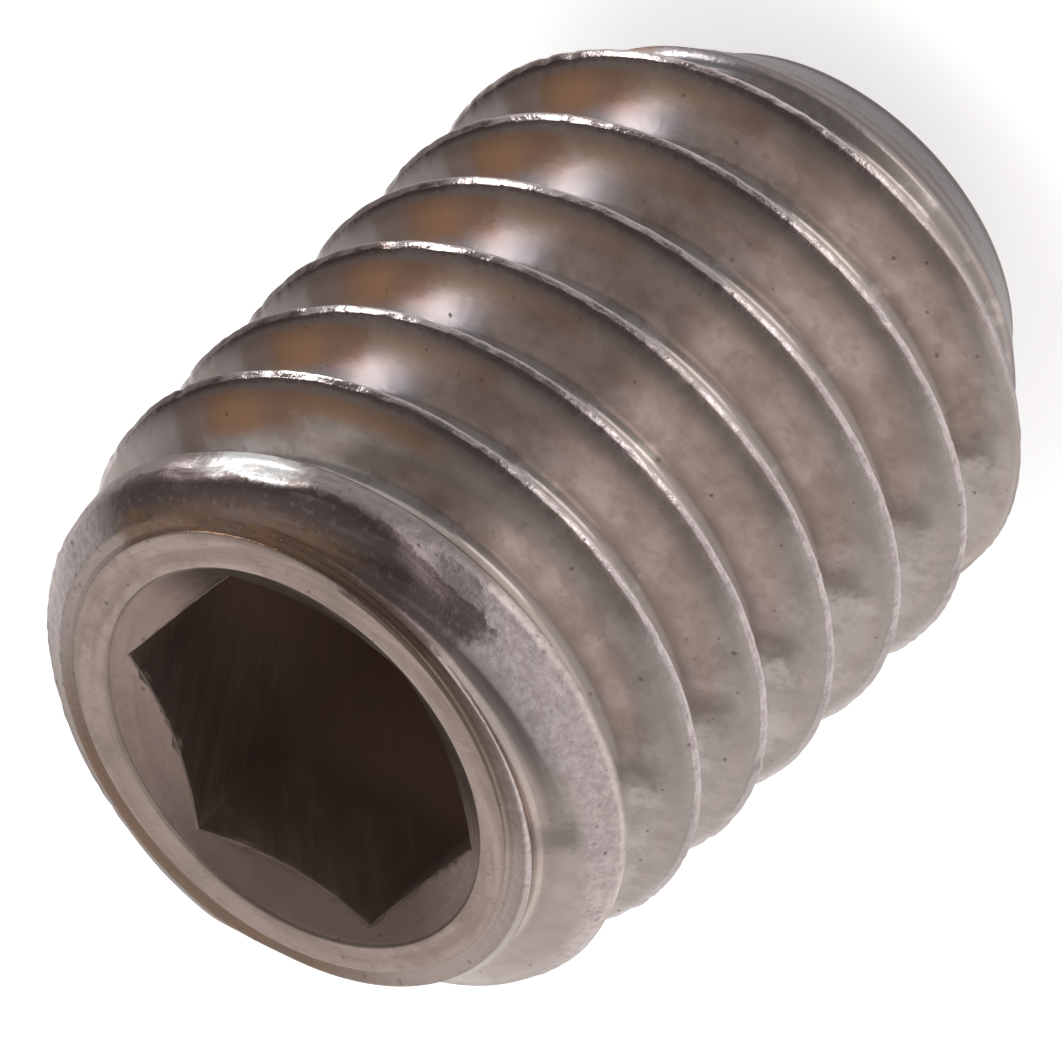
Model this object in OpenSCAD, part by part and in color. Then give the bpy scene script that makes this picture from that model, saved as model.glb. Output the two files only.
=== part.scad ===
// Grub set screw, M6 x 1, 8 mm long: hexagon socket, flat point, one solid.
// It stands on its point with the socket up. The origin is on the axis, in the plane of the point.

/* [Body] */
// Length from the point to the socket end
length = 8; // [6:0.5:20]
// Diameter over the thread crests
major_d = 5.95; // [5.7:0.01:6]

/* [Thread] */
// Advance of the right-hand thread in one turn
pitch = 1; // [0.75:0.05:1.1]
// Width of the flat that is left on a crest
crest_w = 0.1; // [0.08:0.005:0.2]
// Radius at the bottom of the groove
root_r = 0.144; // [0.08:0.004:0.16]
// Angle between the two flanks of the groove
flank_angle = 60; // [50:1:65]
// Turn of the thread about the axis, which sets where it starts
thread_turn = 302; // [0:1:360]

/* [Socket end] */
// Diameter of the flat ring around the socket
face_d = 4.5; // [4.2:0.05:4.8]
// Height of the rounded shoulder around the ring
shoulder_h = 0.3; // [0.2:0.05:0.6]
// How far the top of the shoulder lies inside the full crests
shoulder_drop = 0.235; // [0.05:0.005:0.3]
// Height over which the crests grow from the shoulder to their full radius
lead_h = 1.3; // [0.8:0.05:2]
// Diameter of the off-centre bevel in the plane of the ring
bevel_d = 4.87; // [4.8:0.01:5.2]
// Angle between the bevel and the axis
bevel_angle = 38; // [30:1:45]
// Distance of the bevel's centre from the axis
bevel_shift = 0.2; // [0:0.05:0.25]
// Direction of that shift about the axis
bevel_turn = 19; // [0:1:359]

/* [Socket] */
// Width across the flats of the hexagon
socket_af = 3.06; // [2.5:0.02:3.2]
// Depth of the hexagon's flats
socket_depth = 3.5; // [2:0.1:4]
// Diameter of the countersink in the face
sink_d = 3.84; // [3.8:0.02:4.1]
// Full angle of the countersink
sink_angle = 120; // [90:5:130]
// Full angle of the drilled cone below the hexagon
drill_angle = 120; // [90:5:140]

/* [Point] */
// Diameter of the flat point
point_d = 3.95; // [3:0.05:4.4]
// Height of the chamfer above the point
point_h = 1.4; // [0.8:0.05:2.5]
// Break of the sharp edge around the flat point
point_break = 0.08; // [0.02:0.01:0.2]

/* [Hidden] */
steel = [0.60, 0.57, 0.54];
major_r = major_d / 2;
face_r = face_d / 2;
shoulder_r = major_r - shoulder_drop;
point_r = point_d / 2;
half_flank = flank_angle / 2;
// Facets of the shoulder's outline, groove stations in a turn, and segments in the groove's bottom
shoulder_steps = 8;
turn_steps = 36;
root_steps = 4;
// How far the groove's cutter stands out past the crests
cutter_over = 0.06;
// Half the width of the groove where it meets the crests, and the depth at which its flanks would meet
groove_half = (pitch - crest_w) / 2;
sharp_depth = groove_half / tan(half_flank);
// Depth of the centre of the groove's round bottom
root_centre = sharp_depth - root_r / sin(half_flank);
$fn = 96;

// Outline of the blank: flat point, chamfer, thread crests, lead, elliptical shoulder, flat ring.
function shoulder_point(i) =
    let (a = 90 * i / shoulder_steps)
    [
        face_r + (shoulder_r - face_r) * cos(a),
        length - shoulder_h * (1 - sin(a))
    ];

module blank() {
    shoulder = [for (i = [0 : shoulder_steps]) shoulder_point(i)];
    rotate_extrude()
        polygon(concat(
            [[0, 0], [point_r - point_break, 0], [point_r, point_break], [major_r, point_h]],
            [[major_r, length - lead_h]],
            shoulder,
            [[0, length]]
        ));
}

// Cone of the uneven bevel: it cuts a long slope on one side and stays clear of the other.
module bevel_cone() {
    beyond = 1;
    spread = tan(bevel_angle);
    rotate([0, 0, bevel_turn])
        translate([bevel_shift, 0, -beyond])
            cylinder(
                r1 = bevel_d / 2 + (length + beyond) * spread,
                r2 = bevel_d / 2 - beyond * spread,
                h = length + 2 * beyond
            );
}

// Half the groove's profile, as [depth below the crests, distance from its middle].
function root_point(i) =
    let (a = (90 - half_flank) * (2 * i / root_steps - 1))
    [root_centre + root_r * cos(a), root_r * sin(a)];

groove_profile = concat(
    [[-cutter_over, -groove_half - cutter_over * tan(half_flank)]],
    [for (i = [0 : root_steps]) root_point(i)],
    [[-cutter_over, groove_half + cutter_over * tan(half_flank)]]
);

// One closed body that follows the groove's helix from below the point to above the socket end.
module groove_cutter() {
    sides = len(groove_profile);
    turns = ceil(length / pitch) + 2;
    stations = turns * turn_steps;
    points = [
        for (k = [0 : stations], p = groove_profile)
            let (a = 360 * k / turn_steps, r = major_r - p[0])
            [r * cos(a), r * sin(a), pitch * (k / turn_steps - 1) + p[1]]
    ];
    walls = [
        for (k = [0 : stations - 1], j = [0 : sides - 1])
            let (n = (j + 1) % sides, b = k * sides, t = b + sides)
            each [[b + j, t + n, b + n], [b + j, t + j, t + n]]
    ];
    start_cap = [[for (j = [0 : sides - 1]) j]];
    end_cap = [[for (j = [sides - 1 : -1 : 0]) stations * sides + j]];
    rotate([0, 0, thread_turn])
        polyhedron(points, concat(walls, start_cap, end_cap));
}

// Hexagon with corners along Y, the drilled cone below it and the countersink above it.
module socket() {
    corner_r = socket_af / sqrt(3);
    drill_h = socket_af / 2 / tan(drill_angle / 2);
    sink_h = sink_d / 2 / tan(sink_angle / 2);
    translate([0, 0, length - socket_depth])
        rotate([0, 0, 30])
            cylinder(r = corner_r, h = socket_depth + 1, $fn = 6);
    translate([0, 0, length - socket_depth - drill_h])
        cylinder(r1 = 0, r2 = socket_af / 2, h = drill_h);
    translate([0, 0, length - sink_h])
        cylinder(r1 = 0, r2 = sink_d, h = 2 * sink_h);
}

module set_screw() {
    color(steel)
        difference() {
            intersection() {
                blank();
                bevel_cone();
            }
            groove_cutter();
            socket();
        }
}

set_screw();
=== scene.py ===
# %% [markdown]
# # A grub set screw, 6 mm across
#
# A grub screw has no head. It is a short threaded rod with a hexagon socket in one end and a flat
# point at the other. The construction model gives its true shape. This lesson builds the same
# surface finely enough for a close look, gives the rolled, turned and pressed faces their own
# finishes, and lights it as a small bright thing on a table.

# %% Load the frame
import math

import bpy
import numpy as np
from mathutils import Matrix, Vector


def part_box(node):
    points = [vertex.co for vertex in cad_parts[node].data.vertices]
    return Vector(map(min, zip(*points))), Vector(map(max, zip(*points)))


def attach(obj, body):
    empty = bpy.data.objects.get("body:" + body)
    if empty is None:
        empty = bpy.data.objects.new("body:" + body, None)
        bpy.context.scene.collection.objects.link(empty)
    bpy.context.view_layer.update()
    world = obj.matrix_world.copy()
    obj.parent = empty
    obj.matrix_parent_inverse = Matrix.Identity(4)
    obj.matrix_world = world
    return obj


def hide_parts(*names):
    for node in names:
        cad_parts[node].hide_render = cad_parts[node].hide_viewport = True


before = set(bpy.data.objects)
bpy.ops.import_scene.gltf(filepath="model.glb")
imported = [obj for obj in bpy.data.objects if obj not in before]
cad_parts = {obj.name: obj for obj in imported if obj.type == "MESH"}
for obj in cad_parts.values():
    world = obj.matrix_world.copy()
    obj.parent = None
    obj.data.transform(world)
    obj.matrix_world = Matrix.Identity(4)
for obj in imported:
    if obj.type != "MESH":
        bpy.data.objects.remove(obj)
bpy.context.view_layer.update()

low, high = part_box("set_screw")
MM = 0.001
length = (high.z - low.z) / MM
crest_r = (high.x - low.x) / 2 / MM
print(f"the screw is {length:.2f} mm long and {2 * crest_r:.2f} mm over the crests")

# %% [markdown]
# ## The sizes of the screw
#
# The thread is a groove that winds round a blank. These sizes are millimetres and degrees, and
# they repeat the construction model, because this script can read only the frame. Angles around
# the axis are counted from the side that faces the viewer, and grow towards the viewer's left.

# %% Sizes
pitch = 1.0
crest_w = 0.06
root_r = 0.17
half_flank = math.radians(30)
thread_turn = math.radians(302)
ring_r = 2.25
lead_h = 1.3
point_r = 1.975
point_h = 1.4
point_break = 0.08
hex_flat = 1.53
hex_depth = 3.5
sink_r = 1.92
sink_slope = math.tan(math.radians(30))
front = math.radians(-86.06)
print(f"{length / pitch:.0f} turns of thread and a hexagon {2 * hex_flat:.2f} mm across its flats")

# %% [markdown]
# ## Columns around the axis
#
# The surface is a grid. Its columns stand around the axis, and six of them fall exactly on the six
# corners of the hexagon, so their number is divisible by six. A row holds one value for each
# column, and multiplying a number by flat, a row of ones, makes it such a row.

# %% Columns
COLUMNS = 420
theta = np.arange(COLUMNS) * 2 * math.pi / COLUMNS
flat = np.ones(COLUMNS)
rng = np.random.default_rng(seed=6)


def facing(degrees):
    """For each column, the cosine of its angle from a side counted from the viewer."""
    return np.cos(theta - front - math.radians(degrees))


def soft_step(value, low_end, high_end):
    """0 below low_end, 1 above high_end and smooth between them."""
    t = np.clip((value - low_end) / (high_end - low_end), 0, 1)
    return t * t * (3 - 2 * t)


print(f"a column every {2 * math.pi * crest_r / COLUMNS:.3f} mm at the crests")

# %% [markdown]
# ## The turned blank
#
# A lathe leaves the blank with a chamfer at the point and a bevelled corner at the socket. The
# bevel was not cut evenly: on one side it is a long cone, and on the other a short steep corner.
# So the outline is two lists of heights and radii, and each column takes its own share of the two.
# A low step runs round the ring, where the facing tool stopped. On the left a blow has flattened
# the corner by up to 0.07 mm, and beside it the metal stands out a little as a hump.

# %% Outline of the blank
step_h = 0.05
step_r = 2.35
long_bevel = [(step_h, step_r), (0.3, 2.46), (0.52, 2.645), (0.77, 2.83), (1.0, 2.93)]
short_bevel = [(step_h, 2.42), (0.2, 2.66), (0.28, 2.72), (0.6, 2.77), (0.8, 2.86), (1.0, 2.92)]
for bevel in (long_bevel, short_bevel):
    bevel.append((lead_h, crest_r))
long_share = soft_step(facing(-75), -0.12, 0.28)
ring_edge = ring_r - 0.03 + 0.05 * facing(75)
hump_side = soft_step(facing(27), 0.8, 1)
hump_out = 0.06
hump_down = 0.38
hump_reach = 0.25
dent_side = soft_step(facing(50), 0.955, 0.985)
dent_slope = 0.26
dent_start = 0.12
dent_end = 0.64
dent_reach = 0.26


def outline(points, down):
    """Radius of an outline of straight lines at each distance down from the socket face."""
    return np.interp(down, [p[0] for p in points], [p[1] for p in points])


def blank_radius(z):
    """Radius of the turned blank at height z, for rows of one value for each column."""
    foot = point_r + (crest_r - point_r) * (z - point_break) / (point_h - point_break)
    edge = point_r - point_break + np.sqrt(np.clip(z * (2 * point_break - z), 0, None))
    body = np.where(z < point_break, edge, np.minimum(foot, crest_r))
    down = length - z
    hump = hump_out * hump_side * np.clip(1 - np.abs(down - hump_down) / hump_reach, 0, 1)
    dented = dent_side * np.clip((down - dent_start) / dent_reach, 0, 1)
    dented = dented * dent_slope * np.clip(dent_end - down, 0, dent_reach)
    long_way = outline(long_bevel, down) * long_share
    short_way = (outline(short_bevel, down) + hump) * (1 - long_share)
    bevel = long_way + short_way - dented
    wall = ring_edge + 0.02 * np.clip(down / step_h, 0, 1)
    over = soft_step(down, 0.7 * step_h, 1.1 * step_h)
    return np.where(down < lead_h, wall + (bevel - wall) * over, body)


print(f"the ring is {2 * ring_edge.min():.2f} to {2 * ring_edge.max():.2f} mm across")

# %% [markdown]
# ## The rolled groove
#
# Dies press the groove into the blank and the metal flows up beside it. The flanks stand at 60
# degrees to each other and bulge by a few hundredths of a millimetre, the root is round, and the
# crest is a narrow land that leans towards the socket, where the metal folded over. What is left
# of the metal is the smaller of the blank and the groove, blended where they meet, because a
# rolled edge is never sharp.

# %% Radius of the groove
groove_half = (pitch - crest_w) / 2
sharp_depth = groove_half / math.tan(half_flank)
root_centre = sharp_depth - root_r / math.sin(half_flank)
root_reach = root_r * math.cos(half_flank)
flank_bulge = 0.016
edge_round = 0.014
quarter = np.degrees(np.arccos(np.clip(facing(0), 0, 1)))
lean = np.tan(np.radians(20 + 8 * np.minimum(quarter / 55, 1.25) ** 2))


def groove_radius(across):
    """Radius of the groove's floor at a distance along the axis from its middle."""
    away = np.abs(across)
    root = root_centre + np.sqrt(np.clip(root_r**2 - away**2, 0, None))
    up = np.clip((away - root_reach) / (groove_half - root_reach), 0, 1)
    flank = sharp_depth - away / math.tan(half_flank) - 4 * flank_bulge * up * (1 - up)
    return crest_r - np.where(away < root_reach, root, flank)


def skin_radius(z, start):
    """Radius of the finished metal, how far the blank sets it, and the distance to the crest."""
    across = (z - start) / pitch
    across = (across - np.floor(across) - 0.5) * pitch
    to_crest = pitch / 2 - np.abs(across)
    above_crest = np.where(across < 0, to_crest, -to_crest)
    blank = blank_radius(z)
    full = soft_step(blank, crest_r - 0.1, crest_r - 0.03)
    blank = blank - full * lean * np.clip(above_crest + crest_w / 2, 0, 1.3 * crest_w)
    groove = groove_radius(across)
    land = np.clip(0.5 + 0.5 * (groove - blank) / edge_round, 0, 1)
    return groove + (blank - groove) * land - edge_round * land * (1 - land), land, to_crest


print(f"the groove is {root_centre + root_r:.3f} mm deep")

# %% [markdown]
# ## Rows that follow the thread
#
# A mesh whose rows run level would cut across the crests and show them as steps. Here every row
# climbs with the thread, so a crest is one clean line of vertices. After a full turn a row has
# risen by one pitch and meets the row one turn above it. Near both ends the rows are pressed
# together, and those that would pass an end stop at a level ring.

# %% Rows
rim_h = 0.11
crest_rows = np.array([-0.64, -0.5, -0.36, 0, 0.36, 0.5, 0.64]) * crest_w
flank_rows = np.linspace(crest_rows[-1], pitch / 2 - root_reach, 5)[1:]
root_rows = np.sin(np.radians([-32, -11, 11, 32])) * root_r
turn_rows = np.concatenate(
    [crest_rows, flank_rows, pitch / 2 + root_rows, pitch - flank_rows[::-1]]
)
start = pitch * (theta - thread_turn) / (2 * math.pi) + pitch / 2
start -= math.floor(start[0] / pitch) * pitch
turns = math.ceil(length / pitch) + 4
rows = np.concatenate([(turn - 3) * pitch + turn_rows for turn in range(turns)])


def pressed(t, room):
    """Distance from an end for a row at nominal distance t: rows within room crowd together."""
    near = np.clip((t + room) / (2 * room), 0, None)
    return np.where(t < room, room * near**2, t)


z_rows = rows[:, None] + start[None, :]
z_rows = point_break + pressed(z_rows - point_break, 0.08)
z_rows = length - rim_h - pressed(length - rim_h - z_rows, 0.1)
r_rows, land_rows, to_crest = skin_radius(z_rows, start)
print(f"{len(turn_rows)} rows in a turn, radii {r_rows.min():.3f} to {r_rows.max():.3f} mm")

# %% [markdown]
# ## Nicks and burrs on the crests
#
# Loose screws knock against each other in their box, and the crests take the blows. Seeded random
# numbers along the thread raise and lower each edge of the crest by a few microns, and eighty
# short nicks and burrs go a little further.

# %% Wear on the crests
row_side = rows - np.round(rows / pitch) * pitch
along = (np.round(rows / pitch) + 4)[:, None] + theta[None, :] / (2 * math.pi)
turn_length = 2 * math.pi * crest_r


def ragged(spacing, size):
    """Random heights along the thread, one for every spacing in mm."""
    knots = np.arange(0, (turns + 3) * turn_length, spacing)
    return np.interp(along * turn_length, knots, rng.normal(0, size, len(knots)))


front_edge = soft_step(row_side, -0.03, 0.05)[:, None]
NICKS = 80
long_wave, short_wave = 0.5, 0.08
wear = (
    ragged(long_wave, 0.003)
    + ragged(short_wave, 0.005) * front_edge
    + ragged(short_wave, 0.005) * (1 - front_edge)
)
for spot in rng.uniform(3, turns - 1, NICKS):
    wide = rng.uniform(0.03, 0.09)
    deep = rng.uniform(-0.008, 0.022)
    slant = rng.uniform(-0.6, 0.6) * row_side[:, None]
    wear -= deep * np.exp(-((((along - spot) * turn_length + slant) / wide) ** 2))
on_crest = np.exp(-((to_crest / 0.055) ** 2))
r_rows = np.minimum(r_rows + wear * on_crest, crest_r)
print(f"the crests are worn by up to {-wear.min():.3f} mm")

# %% [markdown]
# ## The socket end and the point
#
# Inside the ring a 120 degree cone leads into the hexagon. A ray from the axis meets the hexagon
# at a distance that grows towards each corner, so the cone's lower edge is an arc on every flat.
# Every edge is a pair of close rings, because a turned or pressed edge has a small round. The
# punch left the top of the hexagon a little torn. Below the hexagon lies what the drill left. The
# point is a plain flat disc.

# %% Rings of the socket and the point
corner_turn = (theta + math.pi / 6) % (math.pi / 3) - math.pi / 6
tear_every = 5
torn_knots = np.arange(0, COLUMNS + tear_every, tear_every)
tears = np.resize(rng.normal(0, 0.009, COLUMNS // tear_every), len(torn_knots))
torn = np.interp(np.arange(COLUMNS), torn_knots, tears)
hex_r = hex_flat / np.cos(corner_turn)
edge_r = hex_r + np.abs(torn)
hex_floor = length - hex_depth
drill_r = 0.985 * hex_flat
drill_tip = hex_floor - drill_r / math.sqrt(3)
lip = 0.03
cone_r = sink_r - lip / 2


def cone_z(r):
    """Height of the countersink's cone at radius r."""
    return length - lip - (cone_r - r) * sink_slope


rim_rings = []
for down in (0.085, 0.07, 0.058, 0.05, 0.042, 0.034, 0.02, 0.008):
    rim_rings.append((skin_radius((length - down) * flat, start)[0], (length - down) * flat))
inner_edge = sink_r + 0.012
outer_edge = ring_edge - 0.012
face_rings = [(ring_edge - 0.004, (length - 0.002) * flat), (outer_edge, length * flat)]
for t in (0.15, 0.4, 0.65, 0.88, 1):
    face_rings.append((outer_edge + (inner_edge - outer_edge) * t, length * flat))
face_rings.append(((sink_r + 0.003) * flat, (length - 0.003) * flat))
face_rings.append(((sink_r - 0.002) * flat, (length - 0.7 * lip) * flat))
face_rings.append((cone_r * flat, (length - lip) * flat))
for t in (0.08, 0.3, 0.55, 0.8):
    r = cone_r + (edge_r - cone_r) * t
    face_rings.append((r, cone_z(r)))
face_rings.append((edge_r + 0.012, cone_z(edge_r + 0.012)))
hex_top = cone_z(hex_r)
wall_rings = [
    (edge_r + 0.002, hex_top - 0.004),
    (0.5 * (edge_r + hex_r), hex_top - 0.016),
    (hex_r, hex_top - 0.06),
]
for t in (0.08, 0.3, 0.6, 1):
    wall_rings.append((hex_r, hex_top + (hex_floor - hex_top) * t))
for t in (0, 0.5, 0.9):
    z = hex_floor + (drill_tip - hex_floor) * t
    wall_rings.append((drill_r * (1 - t) * flat, z * flat))
foot_rings = [(skin_radius(z * flat, start)[0], z * flat) for z in (0.055, 0.03, 0.012)]
point_rings = [((point_r - point_break) * t * flat, 0 * flat) for t in (1, 0.97, 0.7, 0.4, 0.1)]
ring_count = len(rim_rings) + len(face_rings) + len(wall_rings)
print(f"{ring_count} rings from the rim to the drilled floor")

# %% [markdown]
# ## One closed skin
#
# The whole screw is one watertight mesh, because the real one is one piece of steel. The grid of
# the thread, the rings of the socket and the disc of the point share their vertices. Every face
# also gets the number of its finish: rolled, turned or pressed. A vertex layer named land keeps
# how far each vertex lies on a crest or a bevel rather than in the groove, for the materials to
# read.

# %% Collect the vertices and faces
ROLLED, TURNED, PRESSED = range(3)


class Skin:
    """Vertices, faces, finishes and land values of the mesh as it grows."""

    def __init__(self):
        self.points, self.faces, self.finish, self.land = [], [], [], []

    def count(self):
        """How many vertices there are so far."""
        return sum(len(block) for block in self.points)

    def ring(self, r, z, land):
        """Add one level ring of vertices and return their numbers."""
        first = self.count()
        self.points.append(np.stack([r * np.cos(theta), r * np.sin(theta), z * flat], axis=1))
        self.land.append(land * flat)
        return first + np.arange(COLUMNS)

    def add(self, face, finish, upward):
        """Add one face, turned over if it should look down."""
        self.faces.append(face if upward else face[::-1])
        self.finish.append(finish)

    def rings(self, ring, rings, finish, upward=True):
        """Join rings one after another, each inside or above the last, and return the last."""
        for r, z in rings:
            inner = self.ring(r, z, 1)
            for j in range(COLUMNS):
                k = (j + 1) % COLUMNS
                self.add((ring[j], ring[k], inner[k], inner[j]), finish, upward)
            ring = inner
        return ring

    def close(self, ring, z, finish, upward=True):
        """Close a ring with a fan to the axis."""
        middle = self.count()
        self.points.append(np.array([[0, 0, z]]))
        self.land.append(np.ones(1))
        for j in range(COLUMNS):
            self.add((ring[j], ring[(j + 1) % COLUMNS], middle), finish, upward)


skin = Skin()
foot_r, foot_land, _ = skin_radius(point_break * flat, start)
rim_r, rim_land, _ = skin_radius((length - rim_h) * flat, start)
bottom = skin.ring(foot_r, point_break, foot_land)
top = skin.ring(rim_r, length - rim_h, rim_land)

below = z_rows <= point_break
above = z_rows >= length - rim_h
free = ~(below | above)
own = np.cumsum(free.ravel()).reshape(free.shape) - 1 + 2 * COLUMNS
index = np.where(below, bottom[None, :], np.where(above, top[None, :], own))
grid = np.stack([r_rows * np.cos(theta), r_rows * np.sin(theta), z_rows], axis=2)
skin.points.append(grid[free])
skin.land.append(land_rows[free])
step = len(turn_rows)
wrapped = np.vstack([index[step:, :1], np.tile(top[:1], (step, 1))])
following = np.hstack([index[:, 1:], wrapped])
quads = (index[:-1], following[:-1], following[1:], index[1:])
for corners in zip(*(part.ravel() for part in quads)):
    face = tuple(dict.fromkeys(corners))
    if len(face) > 2:
        skin.add(face, ROLLED, True)

ring = skin.rings(top, rim_rings, ROLLED)
ring = skin.rings(ring, face_rings, TURNED)
ring = skin.rings(ring, wall_rings, PRESSED)
skin.close(ring, drill_tip, PRESSED)
ring = skin.rings(bottom, foot_rings, ROLLED, upward=False)
ring = skin.rings(ring, point_rings, TURNED, upward=False)
skin.close(ring, 0, TURNED, upward=False)
print(f"{skin.count()} vertices collected")

# %% [markdown]
# ## The mesh
#
# The collected lists become one mesh in metres. It rides on the only body, and it stands in for
# the construction solid.

# %% Build the mesh
mesh = bpy.data.meshes.new("screw_skin")
faces = [[int(v) for v in face] for face in skin.faces]
mesh.from_pydata((np.concatenate(skin.points) * MM).tolist(), [], faces)
mesh.polygons.foreach_set("material_index", skin.finish)
mesh.polygons.foreach_set("use_smooth", [finish != PRESSED for finish in skin.finish])
mesh.attributes.new("land", "FLOAT", "POINT").data.foreach_set("value", np.concatenate(skin.land))
mesh.update()
triangles = sum(len(face.vertices) - 2 for face in mesh.polygons)
print(f"the skin has {triangles} triangles")

screw = bpy.data.objects.new("screw_body", mesh)
bpy.context.scene.collection.objects.link(screw)
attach(screw, "root")
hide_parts("set_screw")

# %% [markdown]
# ## Helpers for the finishes
#
# A finish is a small network of nodes. These helpers put a node in a tree and plug values or other
# nodes into it, so that each finish below reads as a list of what happens to the metal.

# %% Node helpers


def plug(tree, value, socket):
    """Set a socket to a plain value, or link another node's socket to it."""
    if isinstance(value, bpy.types.NodeSocket):
        tree.links.new(value, socket)
    else:
        socket.default_value = value


def calc(tree, operation, *values):
    """A Math node; with more than two values it is repeated, as in a long sum."""
    made = tree.nodes.new("ShaderNodeMath")
    made.operation = operation
    for value, socket in zip(values, made.inputs):
        plug(tree, value, socket)
    if len(values) > 2:
        return calc(tree, operation, made.outputs[0], *values[2:])
    return made.outputs[0]


def vectors(tree, operation, first, second=None, output="Vector"):
    """A Vector Math node on one or two vectors; to scale one, the second is a number."""
    made = tree.nodes.new("ShaderNodeVectorMath")
    made.operation = operation
    plug(tree, first, made.inputs[0])
    if second is not None:
        plug(tree, second, made.inputs["Scale" if operation == "SCALE" else 1])
    return made.outputs[output]


def times(tree, *values):
    """The product of shares or values."""
    return calc(tree, "MULTIPLY", *values)


def fade(tree, value, begin, end):
    """0 at begin, 1 at end, smooth between; begin may be the larger."""
    made = tree.nodes.new("ShaderNodeMapRange")
    made.interpolation_type = "SMOOTHSTEP"
    plug(tree, value, made.inputs["Value"])
    plug(tree, begin, made.inputs["From Min"])
    plug(tree, end, made.inputs["From Max"])
    return made.outputs["Result"]


def band(tree, value, low_end, high_end, soft):
    """1 between two values and 0 outside them, with soft ends."""
    rise = fade(tree, value, low_end - soft, low_end + soft)
    return times(tree, rise, fade(tree, value, high_end + soft, high_end - soft))


def shaken(tree, value, wobble, most):
    """A value moved by up to half of most either way, by a noise from 0 to 1."""
    return calc(tree, "ADD", value, times(tree, calc(tree, "SUBTRACT", wobble, 0.5), most))


def tint(tree, share, under, over):
    """One colour laid over another by a share from 0 to 1."""
    made = tree.nodes.new("ShaderNodeMix")
    made.data_type = "RGBA"
    for value, number in ((share, 0), (under, 6), (over, 7)):
        plug(tree, (*value, 1) if isinstance(value, tuple) else value, made.inputs[number])
    return made.outputs[2]


def coats(tree, base, *layers):
    """Coats of colour over a base, one after another, each with its share and its colour."""
    for share, colour in layers:
        base = tint(tree, share, base, colour)
    return base


def noise(tree, place, scale, detail=2.0, roughness=0.5):
    """A noise texture from 0 to 1 on a place in mm."""
    made = tree.nodes.new("ShaderNodeTexNoise")
    plug(tree, place, made.inputs["Vector"])
    plug(tree, scale, made.inputs["Scale"])
    plug(tree, detail, made.inputs["Detail"])
    plug(tree, roughness, made.inputs["Roughness"])
    return made.outputs["Fac"]


def raise_bump(tree, height, most, shader):
    """Feed a height from 0 to 1 to the shader's normal; most is its depth in mm."""
    made = tree.nodes.new("ShaderNodeBump")
    made.inputs["Distance"].default_value = most * MM
    plug(tree, height, made.inputs["Height"])
    plug(tree, made.outputs[0], shader["Normal"])


def new_group(name, inputs, outputs):
    """A node group with named sockets, and the sockets of its input and output nodes."""
    tree = bpy.data.node_groups.new(name, "ShaderNodeTree")
    for label, kind, value in inputs:
        kind = "NodeSocket" + kind
        made = tree.interface.new_socket(name=label, in_out="INPUT", socket_type=kind)
        if value is not None:
            made.default_value = value
    for label, kind in outputs:
        tree.interface.new_socket(name=label, in_out="OUTPUT", socket_type="NodeSocket" + kind)
    return tree, tree.nodes.new("NodeGroupInput").outputs, tree.nodes.new("NodeGroupOutput").inputs


def use(tree, group, **values):
    """Place a group in a tree, fill its inputs and return its outputs."""
    made = tree.nodes.new("ShaderNodeGroup")
    made.node_tree = group
    for label, value in values.items():
        plug(tree, value, made.inputs[label.replace("_", " ")])
    return made.outputs


def new_finish(name):
    """A bare metal material: the material, its tree and its shader's inputs."""
    made = bpy.data.materials.new(name)
    made.use_nodes = True
    shader = made.node_tree.nodes["Principled BSDF"].inputs
    shader["Metallic"].default_value = 1
    return made, made.node_tree, shader


print("helpers ready")

# %% [markdown]
# ## The colours
#
# Bare stainless steel is a warm grey. Rolling, heat, oil and dirt each shift it a little, so every
# state of the metal has a colour of its own. Several colours below are painted light, painted
# shade and painted reflections. All are written as red, green and blue from 0 to 1.

# %% Colours of the metal
# Groove of the thread
GROOVE = (0.62, 0.52, 0.485)
GROOVE_DEEP = (0.65, 0.58, 0.555)
# Painted shade and painted light on the roots
ROOT_PAINTED_SHADE = (0.29, 0.235, 0.215)
ROOT_PAINTED_LIGHT = (0.95, 0.86, 0.83)
CLOUDED = (0.5, 0.43, 0.365)
FILMED = (0.44, 0.365, 0.325)
BETWEEN_FILMS = (0.76, 0.66, 0.6)
MOTTLED = (0.42, 0.345, 0.31)
WARM_STEEL = (0.54, 0.43, 0.385)
COOL_GREY = (0.48, 0.48, 0.52)
PALE_BROWN = (0.43, 0.245, 0.14)
# Painted reflections of a brown thing, with their dark edge and pale steel beyond
BROWN_REFLECTION = (0.36, 0.2, 0.13)
ORANGE_REFLECTION = (0.52, 0.29, 0.17)
DARK_REFLECTION_EDGE = (0.4, 0.265, 0.22)
PALE_REFLECTION = (0.76, 0.66, 0.63)
# Painted shade on the left flanks
FLANK_SHADE = (0.33, 0.265, 0.245)
# A painted dark reflection on the right flanks
DARK_REFLECTION = (0.24, 0.2, 0.185)
# Bevels and crests
# Painted shade on the point's chamfer
FAR_END_SHADE_RIGHT = (0.36, 0.315, 0.32)
FAR_END_SHADE_LEFT = (0.23, 0.195, 0.2)
MATT_DARK = (0.56, 0.465, 0.45)
MATT_PALE = (0.69, 0.59, 0.57)
MATT_MOTTLED = (0.42, 0.34, 0.33)
# Painted shade on the right of the bevels
BEVEL_RIGHT_SHADE = (0.36, 0.3, 0.27)
# A painted dark reflection on the shoulder
SHOULDER_DARK_REFLECTION = (0.22, 0.18, 0.175)
CREST_DARK = (0.5, 0.42, 0.41)
CREST_PALE = (0.62, 0.545, 0.535)
# Painted shade on the crests, left and right
CREST_LEFT_SHADE = (0.26, 0.2, 0.185)
CREST_RIGHT_SHADE = (0.32, 0.27, 0.26)
# Painted shade under the crests, and a paler painted shade on the right
CREST_SHADE = (0.18, 0.125, 0.105)
CREST_SHADE_PALE = (0.45, 0.38, 0.345)
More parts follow.
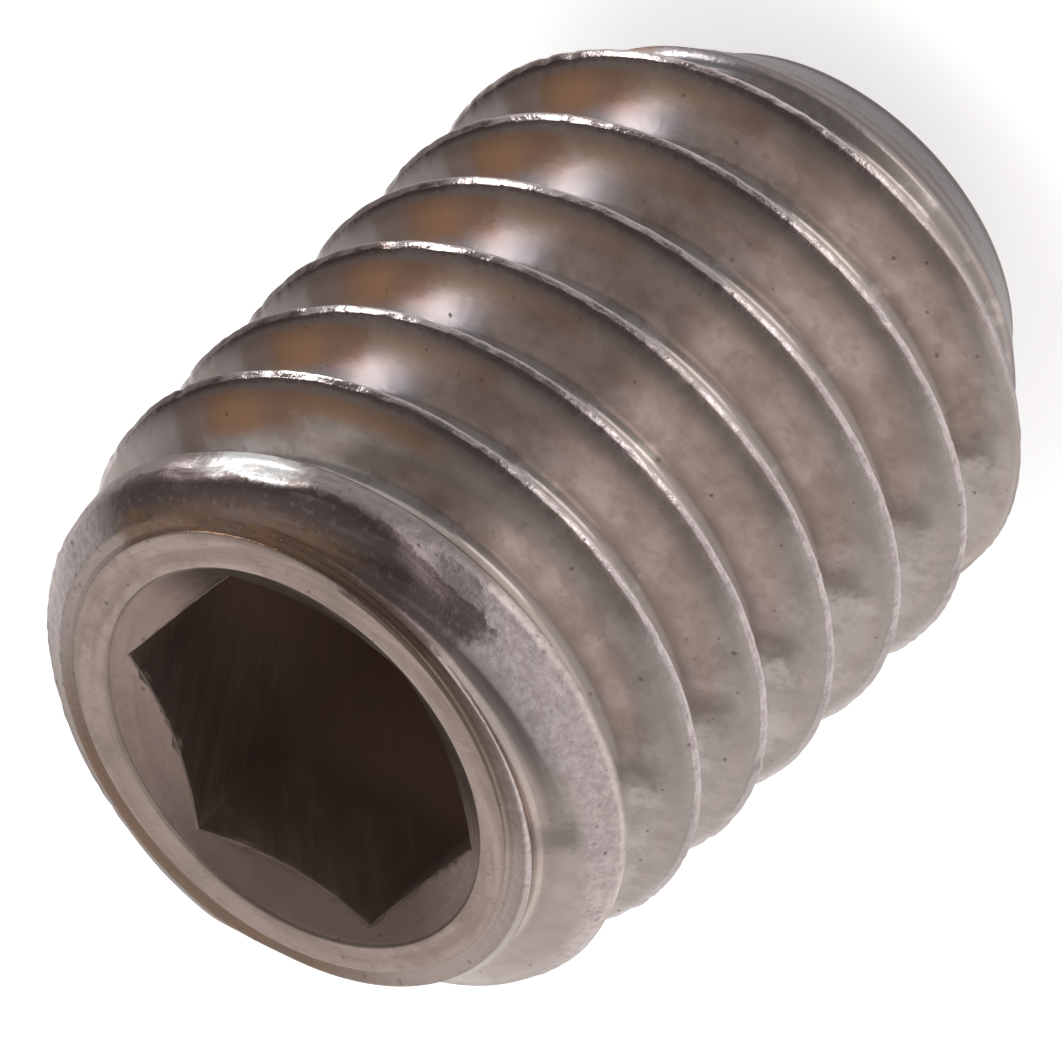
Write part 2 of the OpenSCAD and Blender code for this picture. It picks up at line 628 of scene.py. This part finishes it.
# Painted shade where the thread runs out
RUN_OUT_SHADE = (0.15, 0.115, 0.108)
# A painted highlight on the dent
PAINTED_HIGHLIGHT = (0.98, 0.96, 0.95)
BEVEL_PIT = (0.22, 0.18, 0.17)
PIT = (0.2, 0.14, 0.12)
DIRT = (0.15, 0.1, 0.07)
# Raw skin of the bar, its dark base partly a painted dark reflection
RAW_SKIN_AND_DARK_REFLECTION = (0.18, 0.135, 0.13)
RAW_RUSTY = (0.32, 0.205, 0.145)
RUST = (0.44, 0.25, 0.14)
RAW_SPECK = (0.4, 0.32, 0.3)
PALE_STREAK = (0.36, 0.28, 0.26)
DARK_STREAK = (0.1, 0.07, 0.065)
RAW_BEHIND = (0.24, 0.155, 0.11)
# Turned ring and countersink
TURNED_DARK = (0.52, 0.4, 0.35)
TURNED_PALE = (0.66, 0.525, 0.46)
TURNED_MOTTLED = (0.44, 0.335, 0.29)
TURNED_FAR = (0.42, 0.325, 0.275)
TURNED_CLOUDED = (0.42, 0.33, 0.28)
CONE = (0.42, 0.29, 0.25)
# A painted dark reflection on the countersink's near side
CONE_DARK_REFLECTION = (0.075, 0.045, 0.03)
CONE_BACK = (0.24, 0.17, 0.135)
EDGE_DIRT = (0.15, 0.1, 0.075)
TURNED_PIT = (0.2, 0.16, 0.14)
CORNER_DIRT = (0.2, 0.15, 0.12)
# Walls of the socket
WALL_DARK = (0.39, 0.31, 0.28)
WALL_BROWN = (0.49, 0.38, 0.31)
DRAG_MARK = (0.56, 0.44, 0.36)
WALL_DEEP = (0.68, 0.56, 0.48)
FACE_TOP_DARK = (0.17, 0.13, 0.11)
print("the metal's colours run from CONE_DARK_REFLECTION", CONE_DARK_REFLECTION, "to PAINTED_HIGHLIGHT", PAINTED_HIGHLIGHT)

# %% [markdown]
# ## Where on the screw
#
# Marks on a turned and rolled part follow the axis and the thread, not a flat map. This group
# turns a plain position into the distance from the axis, the depth below the socket face, the
# direction around the axis and the distance from the middle of the nearest crest, which is above
# zero on the side of the socket. All the finishes start here.

# %% Place group
place_group, given, out = new_group(
    "place_on_screw",
    [],
    [("Place", "Vector")] + [(label, "Float") for label in ("Radius", "Down", "Side", "Above")],
)
tree = place_group
in_mm = vectors(tree, "SCALE", tree.nodes.new("ShaderNodeTexCoord").outputs["Object"], 1 / MM)
plug(tree, in_mm, out["Place"])
split = tree.nodes.new("ShaderNodeSeparateXYZ")
plug(tree, in_mm, split.inputs[0])
x, y, z = split.outputs
squares = calc(tree, "ADD", times(tree, x, x), times(tree, y, y))
plug(tree, calc(tree, "SQRT", squares), out["Radius"])
plug(tree, calc(tree, "SUBTRACT", length, z), out["Down"])
cos_front, sin_front = math.cos(front), math.sin(front)
ahead = calc(tree, "ADD", times(tree, x, cos_front), times(tree, y, sin_front))
aside = calc(tree, "SUBTRACT", times(tree, y, cos_front), times(tree, x, sin_front))
side = calc(tree, "DEGREES", calc(tree, "ARCTAN2", aside, ahead))
plug(tree, side, out["Side"])
front_start = (front - thread_turn) / (2 * math.pi) + 0.5
whole_turns = 10
climbed = calc(tree, "SUBTRACT", calc(tree, "DIVIDE", z, pitch), calc(tree, "DIVIDE", side, 360.0))
phase = calc(tree, "FRACT", calc(tree, "ADD", climbed, whole_turns + 0.5 - front_start))
above = times(tree, calc(tree, "SUBTRACT", phase, 0.5), pitch)
plug(tree, above, out["Above"])
print("the place group has", len(tree.nodes), "nodes")

# %% [markdown]
# ## Pits
#
# Acid, grit and handling leave pinholes in bright steel. Each cell of a Voronoi texture may hold
# one pit, with a ragged edge. A random colour of the cell decides whether it does, and how wide
# the pit is.

# %% Pit group
pit_group, given, out = new_group(
    "pits",
    [
        ("Place", "Vector", None),
        ("Cells", "Float", 3.0),
        ("Share", "Float", 0.5),
        ("Size", "Float", 0.1),
    ],
    [("Pit", "Float")],
)
tree = pit_group
cells = tree.nodes.new("ShaderNodeTexVoronoi")
plug(tree, given["Place"], cells.inputs["Vector"])
plug(tree, given["Cells"], cells.inputs["Scale"])
chance = tree.nodes.new("ShaderNodeSeparateColor")
plug(tree, cells.outputs["Color"], chance.inputs[0])
wide = times(tree, given["Size"], calc(tree, "ADD", chance.outputs[1], 0.3))
from_middle = shaken(tree, cells.outputs["Distance"], noise(tree, given["Place"], 30.0), 0.22)
spot = fade(tree, from_middle, wide, times(tree, wide, 0.4))
holds = calc(tree, "LESS_THAN", chance.outputs[0], given["Share"])
plug(tree, times(tree, spot, holds), out["Pit"])
print("the pit group has", len(tree.nodes), "nodes")

# %% [markdown]
# ## Lines left by tools
#
# A lathe leaves fine rings on a face, a punch leaves drag marks in a socket, and a drawn bar has
# streaks in its skin. All are one noise texture that is stretched: it changes fast across the
# lines and slowly along them. The position enters only weakly, so the lines fade in and out.

# %% Line group
line_group, given, out = new_group(
    "tool_lines",
    [
        ("Place", "Vector", None),
        ("Across", "Float", 0.0),
        ("Lines per mm", "Float", 20.0),
        ("Change", "Float", 0.5),
    ],
    [("Line", "Float")],
)
tree = line_group
slow = vectors(tree, "SCALE", given["Place"], given["Change"])
fast = tree.nodes.new("ShaderNodeCombineXYZ")
plug(tree, times(tree, given["Across"], given["Lines per mm"]), fast.inputs[0])
stretched = vectors(tree, "ADD", slow, fast.outputs[0])
plug(tree, noise(tree, stretched, 1.0, 3.0, 0.6), out["Line"])
print("the line group has", len(tree.nodes), "nodes")

# %% [markdown]
# ## Rolled steel
#
# The thread is cold rolled: its grooves are burnished, its crests are rubbed bright and nicked,
# and the bevels at both ends are matt and grainy. On the left of every turn, on the flanks that
# face the socket, a brown patch with an orange middle is a painted reflection, with a painted dark
# edge beside it and painted pale steel beyond. Painted dark reflections lie on the right, a band
# of painted shade runs under every crest, and the left flanks carry painted shade. The masks below
# use the angle round the axis in degrees, shaken a little by noise, and distances in millimetres.
# They fade out before they reach the back, where the angle jumps from 180 to -180 degrees.

# %% Rolled finish: masks
rolled, tree, shader = new_finish("rolled_steel")
spot_on = use(tree, place_group)
place, radius, down, side, above = (
    spot_on[label] for label in ("Place", "Radius", "Down", "Side", "Above")
)
layer = tree.nodes.new("ShaderNodeAttribute")
layer.attribute_name = "land"
land = layer.outputs["Fac"]

cloud = noise(tree, place, 0.9, 3.0)
film = noise(tree, place, 2.3, 4.0, 0.6)
mottle = noise(tree, place, 5.5, 4.0, 0.65)
speck = noise(tree, place, 14.0, 3.0, 0.7)
drift = shaken(tree, side, cloud, 26.0)
calm = shaken(tree, side, mottle, 14.0)
gentle = shaken(tree, shaken(tree, side, mottle, 7.0), cloud, 8.0)

in_front = fade(tree, calc(tree, "ABSOLUTE", side), 165.0, 115.0)
towards_socket = fade(tree, above, -0.02, 0.02)
flank = fade(tree, radius, crest_r - 0.05, crest_r - 0.12)
deep = fade(tree, radius, crest_r - 0.15, crest_r - 0.45)
root = fade(tree, radius, crest_r - 0.45, crest_r - 0.59)
polished = times(tree, land, fade(tree, radius, crest_r - 0.1, crest_r - 0.05))

# Painted reflections: a brown patch with an orange middle, a dark edge and pale steel beyond.
brown_reflection_area = times(tree, flank, towards_socket, fade(tree, radius, 2.46, 2.66))
brown_reflection_share = times(tree, band(tree, gentle, 50.0, 73.0, 4.5), brown_reflection_area, 0.85)
orange_reflection_share = times(tree, band(tree, gentle, 58.5, 69.5, 3.5), brown_reflection_area, 0.9)
reflection_dark_edge = times(tree, band(tree, gentle, 72.0, 80.0, 2.5), flank)
reflection_pale_side = times(tree, fade(tree, gentle, 78.5, 82.5), flank, in_front)
cool = times(
    tree, band(tree, gentle, 38.0, 62.0, 4.0), deep, fade(tree, down, 1.4, 1.7), 0.85
)
pale_brown = times(
    tree, band(tree, drift, 20.0, 55.0, 4.0), fade(tree, radius, 2.62, 2.78), flank, towards_socket
)
near_first_crest = times(tree, fade(tree, down, 1.75, 1.5), 0.32)
pale_brown = times(tree, pale_brown, calc(tree, "ADD", 0.58, near_first_crest))
# Painted shade on the left flanks.
left_flank_shade = times(tree, band(tree, drift, 8.0, 38.0, 6.0), flank)
# A painted dark reflection on the right flanks, at the same angle in every groove.
right_dark_reflection = times(tree, band(tree, calm, -60.0, -53.0, 3.0), flank, fade(tree, radius, 2.85, 2.6))

# A band of painted shade under every crest, on its socket side, paler on the right.
under_crest = fade(tree, above, 0.18, 0.05)
off_crest = fade(tree, above, 0.012, 0.034)
crest_shade_band = times(tree, under_crest, off_crest, fade(tree, down, 0.75, 0.9))
painted_crest_shade = times(tree, crest_shade_band, band(tree, drift, -30.0, 90.0, 9.0))
pale_crest_shade = times(tree, crest_shade_band, fade(tree, drift, -22.0, -40.0), in_front)
pits = use(tree, pit_group, Place=place, Cells=5.5, Share=0.55, Size=0.13)["Pit"]
# Of what this print names, the brown tarnish and the smears are painted reflections.
print("tarnish, smears and pits are mapped")

# %% [markdown]
# The slope between the ring and the first crest was never touched by the dies on one side. It
# keeps the pitted and streaky skin of the bar, and its dark colour is partly a painted dark
# reflection, and more painted dark reflection lies on the shoulder beside it. Next to it a thin
# line of painted shade marks the groove where the thread runs out, the dent that a blow left
# carries a painted highlight, and brown dirt fills the step around the ring.

# %% Rolled finish: raw shoulder
behind = fade(tree, calc(tree, "ABSOLUTE", side), 105.0, 150.0)
on_shoulder = fade(tree, down, 0.95, 0.8)
raw_end = calc(tree, "SUBTRACT", 0.475, times(tree, side, 0.0036))
raw_end = shaken(tree, calc(tree, "MAXIMUM", raw_end, 0.33), mottle, 0.16)
shifted = calc(tree, "ADD", calm, times(tree, fade(tree, down, 0.24, 0.32), 4.0))
raw = times(
    tree,
    fade(tree, calc(tree, "SUBTRACT", down, raw_end), 0.012, -0.012),
    band(tree, shifted, -5.0, 80.0, 3.0),
)
raw = calc(tree, "MAXIMUM", raw, times(tree, behind, fade(tree, down, 0.3, 0.2)))
coarse_pits = use(tree, pit_group, Place=place, Cells=9.0, Share=0.6, Size=0.34)["Pit"]
raw_pits = times(tree, coarse_pits, raw)
land_pits = times(tree, coarse_pits, fade(tree, coarse_pits, 0.3, 0.9), on_shoulder)
streaks = use(tree, line_group, Place=place, Across=down, Lines_per_mm=11.0, Change=1.6)["Line"]

# A thin line of painted shade where the thread runs out.
run_middle = calc(tree, "SUBTRACT", 0.155, times(tree, side, 0.0045))
from_run = calc(tree, "SUBTRACT", down, run_middle)
run_out_shade = times(
    tree,
    band(tree, from_run, -0.045, 0.05, 0.014),
    band(tree, calm, -60.0, 1.0, 3.0),
    fade(tree, side, -64.0, -10.0),
)
# A painted dark reflection on the shoulder's bevel.
shoulder_dark_reflection = times(tree, band(tree, calm, -3.0, 86.0, 5.0), on_shoulder)
bruised = calc(tree, "ADD", down, times(tree, mottle, 0.3))
# A painted highlight on the dent in the mesh.
dent_highlight = times(tree, band(tree, calm, 39.0, 57.0, 5.0), band(tree, bruised, 0.46, 0.75, 0.05))

step_left = times(tree, fade(tree, side, -15.0, 5.0), in_front, 0.035)
step_edge = calc(tree, "ADD", 0.052, step_left)
in_step = times(
    tree,
    band(tree, radius, 2.16, 2.36, 0.015),
    fade(tree, calc(tree, "SUBTRACT", down, step_edge), 0.01, -0.01),
)
dirty_side = times(
    tree,
    band(tree, calm, -55.0, 60.0, 6.0),
    fade(tree, side, -90.0, -5.0),
    fade(tree, side, 75.0, 5.0),
)
dirty = calc(tree, "MAXIMUM", dirty_side, times(tree, behind, 0.25))
dirt = times(tree, in_step, dirty, fade(tree, film, 0.2, 0.45))
print("the bar's own skin, the run-out, the dent and the dirt are mapped")

# %% [markdown]
# Coats of colour follow the masks. First come the burnished flanks and roots, then the matt bevels
# and the crests, and the marks lie over all of them. Several of the coats are painted light,
# painted shade and painted reflections.

# %% Rolled finish: colour of the groove
# Painted light on the roots on the left, and painted shade on the roots elsewhere.
root_lit_side = times(tree, fade(tree, side, 3.0, 14.0), in_front)
root_light_and_shade = tint(tree, root_lit_side, ROOT_PAINTED_SHADE, ROOT_PAINTED_LIGHT)
by_run = times(tree, fade(tree, down, 0.75, 0.65), fade(tree, side, -30.0, -45.0), in_front)
steel = coats(
    tree,
    tint(tree, deep, GROOVE, GROOVE_DEEP),
    (times(tree, root, 0.8), root_light_and_shade),
    (times(tree, fade(tree, cloud, 0.42, 0.62), 0.4), CLOUDED),
    (times(tree, fade(tree, film, 0.47, 0.6), 0.5), FILMED),
    (times(tree, fade(tree, film, 0.44, 0.32), flank, 0.45), BETWEEN_FILMS),
    (times(tree, fade(tree, mottle, 0.5, 0.62), 0.4), MOTTLED),
    (times(tree, by_run, 0.6), WARM_STEEL),
    (cool, COOL_GREY),
    (pale_brown, PALE_BROWN),
    # Painted reflections: brown, orange, their dark edge and pale steel beyond.
    (brown_reflection_share, BROWN_REFLECTION),
    (orange_reflection_share, ORANGE_REFLECTION),
    (times(tree, reflection_dark_edge, 0.7), DARK_REFLECTION_EDGE),
    (times(tree, reflection_pale_side, 0.5), PALE_REFLECTION),
    # Painted shade on the left flanks
    (times(tree, left_flank_shade, 0.22), FLANK_SHADE),
    # A painted dark reflection on the right flanks
    (times(tree, right_dark_reflection, 0.65), DARK_REFLECTION),
)

# %% Rolled finish: colour of the bevels and crests
# Painted shade on the bevels and crests towards the right and the back.
right_bevel_shade = times(tree, fade(tree, side, -50.0, -78.0), fade(tree, down, 0.42, 0.3), 0.65)
right_bevel_shade = calc(tree, "MAXIMUM", right_bevel_shade, times(tree, fade(tree, side, -88.0, -105.0), 0.45))
# Painted shade on the point's chamfer, darker on the left.
far_end_shade = tint(tree, fade(tree, side, -50.0, 5.0), FAR_END_SHADE_RIGHT, FAR_END_SHADE_LEFT)
matt_steel = coats(
    tree,
    tint(tree, fade(tree, speck, 0.38, 0.62), MATT_DARK, MATT_PALE),
    (times(tree, fade(tree, mottle, 0.5, 0.66), 0.4), MATT_MOTTLED),
    (times(tree, right_bevel_shade, in_front), BEVEL_RIGHT_SHADE),
    # A painted dark reflection on the shoulder
    (times(tree, shoulder_dark_reflection, 0.68), SHOULDER_DARK_REFLECTION),
    (times(tree, fade(tree, down, 6.5, 6.75), in_front), far_end_shade),
)
# Painted shade on the crests at the left and at the right.
crest_right_shade = times(tree, fade(tree, side, -62.0, -74.0), in_front, 0.6)
crest_steel = coats(
    tree,
    tint(tree, fade(tree, speck, 0.35, 0.65), CREST_DARK, CREST_PALE),
    (band(tree, drift, 62.0, 96.0, 4.0), CREST_LEFT_SHADE),
    (crest_right_shade, CREST_RIGHT_SHADE),
)
near_ring = times(
    tree,
    fade(tree, radius, 2.6, 2.42),
    calc(tree, "MAXIMUM", band(tree, calm, 18.0, 82.0, 8.0), behind),
)
# The bar's skin, its dark base partly a painted dark reflection.
raw_steel = coats(
    tree,
    tint(tree, near_ring, RAW_SKIN_AND_DARK_REFLECTION, RAW_RUSTY),
    (times(tree, near_ring, fade(tree, film, 0.5, 0.62), 0.6), RUST),
    (times(tree, fade(tree, speck, 0.52, 0.7), 0.5), RAW_SPECK),
    (times(tree, fade(tree, streaks, 0.52, 0.68), 0.5), PALE_STREAK),
    (times(tree, fade(tree, streaks, 0.45, 0.3), 0.5), DARK_STREAK),
    (times(tree, behind, 0.6), RAW_BEHIND),
)
steel = coats(
    tree,
    tint(tree, land, steel, tint(tree, polished, matt_steel, crest_steel)),
    # Painted shade under the crests
    (times(tree, painted_crest_shade, 0.72), CREST_SHADE),
    (times(tree, pale_crest_shade, 0.6), CREST_SHADE_PALE),
    (fade(tree, down, 0.06, 0.045), WARM_STEEL),
    (raw, raw_steel),
    # Painted shade where the thread runs out
    (times(tree, run_out_shade, 0.85), RUN_OUT_SHADE),
    (times(tree, land_pits, land, 0.45), BEVEL_PIT),
    # A painted highlight on the dent
    (dent_highlight, PAINTED_HIGHLIGHT),
    (times(tree, calc(tree, "MAXIMUM", pits, raw_pits), 0.55), PIT),
    (times(tree, dirt, 0.85), DIRT),
)
plug(tree, steel, shader["Base Color"])
print("rolled steel has its colours")

# %% [markdown]
# Burnished and freshly struck metal is smoother, and worn, pitted or raw metal is rougher. The
# relief is a fine grain, only microns deep: everything larger is in the mesh.

# %% Rolled finish: roughness and relief
worn = times(
    tree, calc(tree, "SUBTRACT", land, polished), calc(tree, "ADD", 0.06, times(tree, speck, 0.1))
)
dull = calc(
    tree,
    "ADD",
    0.29,
    worn,
    times(tree, pits, 0.3),
    times(tree, raw, 0.05),
    times(tree, deep, -0.1),
    times(tree, dent_highlight, -0.12),
)
dull = calc(tree, "ADD", dull, times(tree, film, 0.08), times(tree, polished, -0.15))
plug(tree, dull, shader["Roughness"])
relief = calc(tree, "ADD", times(tree, speck, land, 0.8), times(tree, mottle, 0.3))
raise_bump(tree, relief, 0.008, shader)
mesh.materials.append(rolled)
print("rolled steel has", len(tree.nodes), "nodes")

# %% [markdown]
# ## Turned steel
#
# The ring and the countersink were cut by a tool while the bar spun, so fine rings run round them.
# They are paler and more matt than the thread. Dirt sits at the ring's two edges. The
# countersink has a painted dark reflection on its near side and is darker brown at the back on the
# right.

# %% Turned finish
turned, tree, shader = new_finish("turned_steel")
spot_on = use(tree, place_group)
place, radius, side = (spot_on[label] for label in ("Place", "Radius", "Side"))
lines = use(tree, line_group, Place=place, Across=radius, Lines_per_mm=26.0, Change=0.5)["Line"]
broad = use(tree, line_group, Place=place, Across=radius, Lines_per_mm=7.0, Change=0.8)["Line"]
pits = use(tree, pit_group, Place=place, Cells=6.0, Share=0.4, Size=0.12)["Pit"]
cloud = noise(tree, place, 1.4, 3.0)
mottle = noise(tree, place, 4.5, 4.0, 0.65)
speck = noise(tree, place, 16.0, 3.0, 0.7)
corner = band(tree, radius, sink_r - 0.02, sink_r, 0.012)
in_cone = fade(tree, radius, sink_r, sink_r - 0.04)
far_side = fade(tree, calc(tree, "ABSOLUTE", side), 105.0, 150.0)
near_side = fade(tree, calc(tree, "ABSOLUTE", calc(tree, "SUBTRACT", side, 12.0)), 85.0, 48.0)
one_way = calc(tree, "ABSOLUTE", calc(tree, "ADD", side, 140.0))
other_way = calc(tree, "ABSOLUTE", calc(tree, "SUBTRACT", side, 220.0))
right_back = fade(tree, calc(tree, "MINIMUM", one_way, other_way), 75.0, 25.0)
edge_dirt = times(
    tree,
    fade(tree, radius, 2.165, 2.185),
    band(tree, shaken(tree, side, mottle, 30.0), -55.0, 18.0, 6.0),
    fade(tree, side, -90.0, -5.0),
)
steel = coats(
    tree,
    tint(tree, fade(tree, broad, 0.38, 0.62), TURNED_DARK, TURNED_PALE),
    (times(tree, fade(tree, mottle, 0.48, 0.62), 0.45), TURNED_MOTTLED),
    (times(tree, far_side, 0.35), TURNED_FAR),
    (times(tree, in_cone, 0.5), CONE),
    # A painted dark reflection on the countersink's near side
    (times(tree, in_cone, near_side, 0.95), CONE_DARK_REFLECTION),
    (times(tree, in_cone, right_back, 0.7), CONE_BACK),
    (times(tree, fade(tree, cloud, 0.5, 0.7), 0.35), TURNED_CLOUDED),
    (times(tree, edge_dirt, 0.85), EDGE_DIRT),
    (times(tree, pits, 0.5), TURNED_PIT),
    (times(tree, corner, 0.6), CORNER_DIRT),
)
plug(tree, steel, shader["Base Color"])
plug(tree, calc(tree, "ADD", 0.4, times(tree, cloud, 0.14)), shader["Roughness"])
relief = calc(
    tree,
    "ADD",
    times(tree, lines, 0.25),
    times(tree, broad, 0.6),
    times(tree, mottle, 0.5),
    times(tree, speck, 0.6),
)
raise_bump(tree, calc(tree, "SUBTRACT", relief, times(tree, pits, 0.6)), 0.01, shader)
mesh.materials.append(turned)
print("turned steel has", len(tree.nodes), "nodes")

# %% [markdown]
# ## Pressed steel
#
# A punch forms the hexagon, and oil bakes on inside it when the screw is washed and dried. So the
# socket's walls are dark brown and dull, with faint drag marks, and one face is darker near its
# top. The faces are shaded flat, because smooth shading would smear light across their corners.

# %% Pressed finish
pressed_steel, tree, shader = new_finish("pressed_steel")
spot_on = use(tree, place_group)
place, down, side = (spot_on[label] for label in ("Place", "Down", "Side"))
slanted = calc(tree, "ADD", down, times(tree, side, 0.04))
drag = use(tree, line_group, Place=place, Across=slanted, Lines_per_mm=5.0, Change=1.5)["Line"]
cloud = noise(tree, place, 1.1, 3.0)
face_middle = 146.0
off_face = calc(tree, "ABSOLUTE", calc(tree, "SUBTRACT", side, face_middle))
darker_face_top = times(tree, fade(tree, off_face, 32.0, 24.0), fade(tree, down, 1.5, 0.5), 0.6)
steel = coats(
    tree,
    tint(tree, fade(tree, cloud, 0.3, 0.7), WALL_DARK, WALL_BROWN),
    (times(tree, fade(tree, drag, 0.5, 0.75), 0.6), DRAG_MARK),
    (times(tree, fade(tree, down, 1.3, 1.8), 0.5), WALL_DEEP),
    (darker_face_top, FACE_TOP_DARK),
)
plug(tree, steel, shader["Base Color"])
plug(tree, calc(tree, "ADD", 0.45, times(tree, drag, 0.2)), shader["Roughness"])
raise_bump(tree, drag, 0.012, shader)
mesh.materials.append(pressed_steel)
print("pressed steel has", len(tree.nodes), "nodes")

# %% [markdown]
# ## The table
#
# A plain white table is the whole stage. Its top glows a little for the camera and for mirror
# rays, so that it looks white and the metal shows it white, and it still takes the screw's shadow.
# Close to the screw the glow fades, a painted contact shadow like the dimmer light in the corner
# between two things. Mirror rays find the left part of the table dark, as if the room ended there,
# and that draws the dark edge of every flank on the left.

# %% Table
table_mesh = bpy.data.meshes.new("table_top")
half = 0.4
table_corners = [(-half, -half, 0), (half, -half, 0), (half, half, 0), (-half, half, 0)]
table_mesh.from_pydata(table_corners, [], [(0, 1, 2, 3)])
table = bpy.data.objects.new("table_top", table_mesh)
bpy.context.scene.collection.objects.link(table)

paper, tree, shader = new_finish("white_table")
shader["Metallic"].default_value = 0
shader["Base Color"].default_value = (0.86, 0.85, 0.84, 1)
shader["Roughness"].default_value = 0.8
shader["Specular IOR Level"].default_value = 0.1
shader["Emission Color"].default_value = (1, 1, 1, 1)

rays = tree.nodes.new("ShaderNodeLightPath").outputs
mirrored = calc(tree, "MAXIMUM", rays["Is Glossy Ray"], rays["Is Transmission Ray"])
on_table = tree.nodes.new("ShaderNodeTexCoord").outputs["Object"]
away = vectors(tree, "LENGTH", on_table, output="Value")
left_turn = front + math.radians(75)
left_way = (math.cos(left_turn), math.sin(left_turn), 0)
leftward = vectors(tree, "DOT_PRODUCT", on_table, left_way, "Value")
cos_left = calc(tree, "DIVIDE", leftward, calc(tree, "MAXIMUM", away, 0.1 * MM))
on_left = fade(tree, cos_left, 0.2, 0.5)

glow = 0.66
camera_gain = 1.36
left_dimming = 0.85
corner_share = 0.3
dim = times(tree, on_left, fade(tree, away, 6 * MM, 11 * MM))
mirror_glow = times(tree, mirrored, calc(tree, "SUBTRACT", 1.0, times(tree, dim, left_dimming)))
seen = calc(tree, "MAXIMUM", times(tree, rays["Is Camera Ray"], camera_gain), mirror_glow)
# A painted contact shadow: the table's glow fades close to the screw.
out_of_corner = times(tree, fade(tree, away, 2.4 * MM, 4.6 * MM), corner_share)
lit = calc(tree, "ADD", 1 - corner_share, out_of_corner)
plug(tree, times(tree, seen, times(tree, lit, glow)), shader["Emission Strength"])
table_mesh.materials.append(paper)
print("the table glows at", glow)

# %% [markdown]
# ## The camera
#
# The camera stands far away with a long lens, so the screw shows hardly any perspective, as in a
# catalogue picture. It looks down on the socket end at 38 degrees and is rolled, so that the axis
# runs from the upper right to the lower left.

# %% Camera
toward_front = Vector((math.cos(front), math.sin(front), 0))
toward_left = Vector((-toward_front.y, toward_front.x, 0))
from_axis = math.radians(51.98)
roll = math.radians(136.0)
towards = toward_front * math.sin(from_axis) + Vector((0, 0, 1)) * math.cos(from_axis)
axis_seen = (Vector((0, 0, 1)) - towards * math.cos(from_axis)).normalized()
right = axis_seen * math.cos(roll) + towards.cross(axis_seen) * math.sin(roll)
up = towards.cross(right)
thick = 2 * crest_r * MM
distance = 60 * thick
shift_right = 0.3395
shift_up = 0.3310
centre = Vector((0, 0, length * MM)) + right * shift_right * thick + up * shift_up * thick
view = bpy.data.cameras.new("camera")
camera = bpy.data.objects.new("camera", view)
bpy.context.scene.collection.objects.link(camera)
turned_to = Matrix((right, up, towards)).transposed().to_4x4()
camera.matrix_world = Matrix.Translation(centre + towards * distance) @ turned_to
view.sensor_width = 36
frame_width = 1.50784 * thick
view.lens = view.sensor_width * distance / frame_width
view.clip_start = 0.05
view.clip_end = 5
bpy.context.scene.camera = camera
print(f"the camera is {distance / MM:.0f} mm away with a {view.lens:.0f} mm lens")

# %% [markdown]
# ## The light
#
# Steel shows its surroundings more than its own colour. The room is dark. A wide window fills its
# right side, palest near the horizon and dimmest straight up, so the flanks that look up turn dark
# and the rest stays pale. A low pale wall and a patch of light stand behind the screw, and a
# fainter patch hangs high on the left. A large soft lamp in front draws the bright streaks along
# the crests, and a small low one on the left puts a bright spot in every groove.

# %% Lamps
middle = Vector((0, 0, length * MM / 2))


def around(degrees):
    """A level direction around the screw, at an angle counted from the front."""
    turn = math.radians(degrees)
    return toward_front * math.cos(turn) + toward_left * math.sin(turn)


def lamp(name, degrees, height, away, wide, tall, power):
    """A soft lamp around the screw, turned to its middle; sizes in mm."""
    data = bpy.data.lights.new(name, "AREA")
    data.shape = "RECTANGLE"
    data.size = wide * MM
    data.size_y = tall * MM
    data.energy = power
    made = bpy.data.objects.new(name, data)
    bpy.context.scene.collection.objects.link(made)
    made.location = around(degrees) * away * MM + Vector((0, 0, height * MM))
    made.rotation_euler = (made.location - middle).to_track_quat("Z", "Y").to_euler()
    print(f"{name}: {power / (math.pi * wide * tall * MM * MM):.1f} bright")


lamp("front_softbox", -5, height=37, away=300, wide=165, tall=75, power=0.07)
lamp("left_spot", 84, height=4.5, away=40, wide=11, tall=8, power=0.0027)

world = bpy.data.worlds.new("room")
bpy.context.scene.world = world
world.use_nodes = True
tree = world.node_tree
looking = tree.nodes.new("ShaderNodeTexCoord").outputs["Generated"]
split = tree.nodes.new("ShaderNodeSeparateXYZ")
plug(tree, looking, split.inputs[0])
rise = split.outputs[2]


def sky_light(degrees, elevation, begin, end):
    """A soft light around a direction: 0 at cosine begin from it, and 1 at cosine end."""
    lift = math.radians(elevation)
    aim = around(degrees) * math.cos(lift) + Vector((0, 0, math.sin(lift)))
    return fade(tree, vectors(tree, "DOT_PRODUCT", looking, aim, "Value"), begin, end)


dark_room = 0.16
window_light = 0.26
dimmer_straight_up = 0.16
brighter_low_down = 0.3
wall_light = 0.35
back_strength = 0.5
left_strength = 0.28
right_side = sky_light(-90, 0, -0.25, 0.25)
straight_up = times(tree, fade(tree, rise, 0.965, 0.992), dimmer_straight_up)
overhead = calc(tree, "SUBTRACT", window_light, straight_up)
low_down = times(tree, fade(tree, rise, 0.8, 0.45), brighter_low_down)
window = times(tree, right_side, calc(tree, "ADD", overhead, low_down))
wall = times(
    tree, fade(tree, rise, 0.47, 0.41), times(tree, sky_light(160, 8, 0.88, 0.94), wall_light)
)
back_light = times(tree, sky_light(174, 40, 0.945, 0.985), back_strength)
left_light = times(tree, sky_light(108, 55, 0.82, 0.97), left_strength)
strength = calc(tree, "ADD", dark_room, window, wall, back_light, left_light)
plug(tree, strength, tree.nodes["Background"].inputs["Strength"])
tree.nodes["Background"].inputs["Color"].default_value = (1, 1, 1, 1)
bpy.context.scene.view_settings.view_transform = "Standard"
